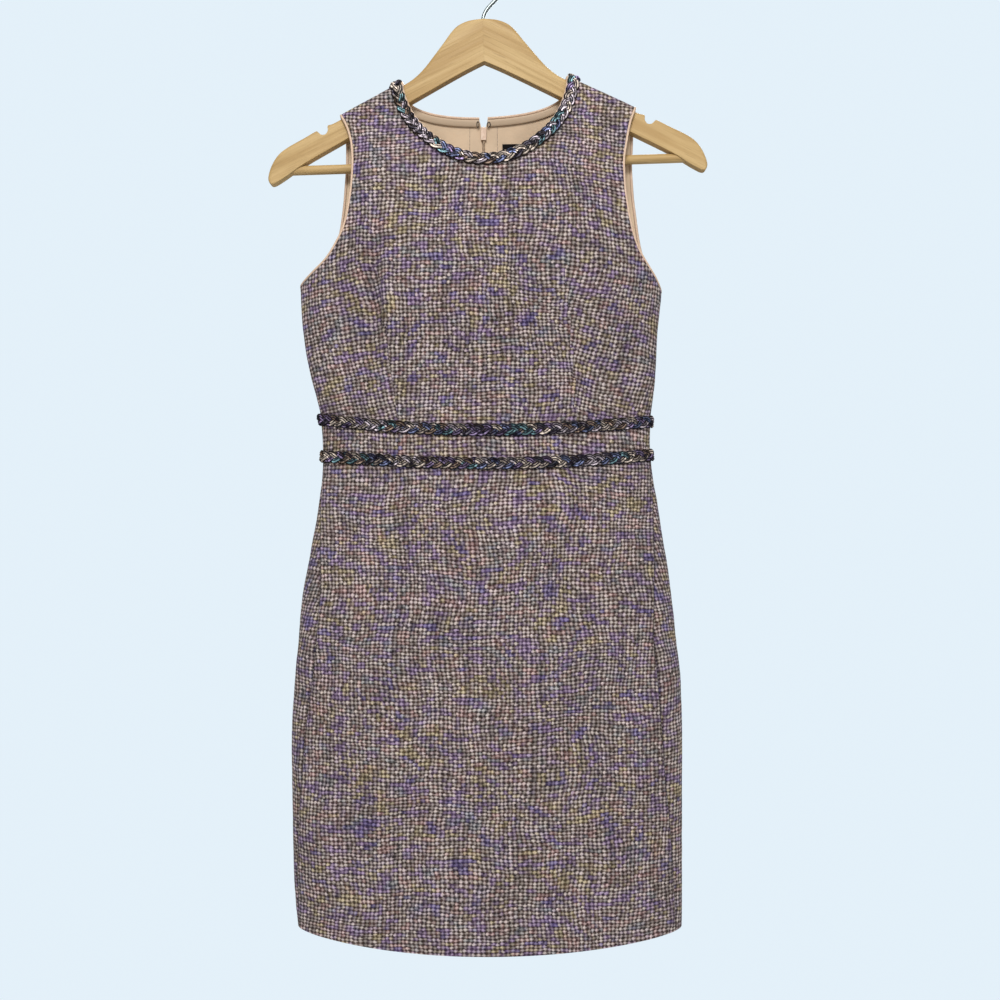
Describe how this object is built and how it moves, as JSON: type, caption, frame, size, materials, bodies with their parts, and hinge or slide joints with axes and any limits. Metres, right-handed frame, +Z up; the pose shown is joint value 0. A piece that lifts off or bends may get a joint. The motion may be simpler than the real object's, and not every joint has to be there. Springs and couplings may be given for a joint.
{
  "type": "sheath dress on a hanger",
  "caption": "Sleeveless tweed sheath dress with a scooped neck, braided trim at the neck and waist and a back zip, hanging on a wooden hanger.",
  "frame": {"origin": "inner top of the hanger's hook, where a rail carries it", "axes": "+Z up, +X to the viewer's right when facing the dress's front, which faces -Y"},
  "size_m": [0.447, 0.0977, 0.9989],
  "materials": {
    "tweed": "boucle tweed weave, matte",
    "braid": "plaited metallic yarns on a dark cord",
    "lining": "smooth satin lining",
    "zip_tape": "woven tape",
    "zip_enamel": "enamelled to match the lining",
    "label": "woven satin, plain",
    "wood": "clear satin varnish",
    "hook_metal": "plated wire"
  },
  "bodies": {
    "dress": {"binding_armhole_left": "lining", "binding_armhole_right": "lining", "binding_neck_back_left": "lining", "binding_neck_back_right": "lining", "binding_neck_front": "lining", "bodice_back_left": "tweed", "bodice_back_right": "tweed", "bodice_front": "tweed", "braid_lower_waist_back_left": "braid", "braid_lower_waist_back_right": "braid", "braid_lower_waist_front": "braid", "braid_neck_back_left": "braid", "braid_neck_back_right": "braid", "braid_neck_front": "braid", "braid_upper_waist_back_left": "braid", "braid_upper_waist_back_right": "braid", "braid_upper_waist_front": "braid", "hanger_arm_left": "wood", "hanger_arm_right": "wood", "hanger_bar": "wood", "hanger_hook": "hook_metal", "lining_back_left": "lining", "lining_back_right": "lining", "lining_front": "lining", "neck_label": "label", "skirt_back_left": "tweed", "skirt_back_right": "tweed", "skirt_front": "tweed", "waistband_back_left": "tweed", "waistband_back_right": "tweed", "waistband_front": "tweed", "zip_coil": "zip_tape", "zip_slider": "zip_enamel", "zip_tape_left": "zip_tape", "zip_tape_right": "zip_tape"},
    "pull_tab": {"zip_pull": "zip_enamel"}
  },
  "joints": [
    {"name": "pull_swing", "type": "hinge", "parent": "dress", "child": "pull_tab", "pos_m": [0.0022, 0.03226, -0.159], "axis": [1, 0, 0], "range_deg": [0, 150]}
  ]
}
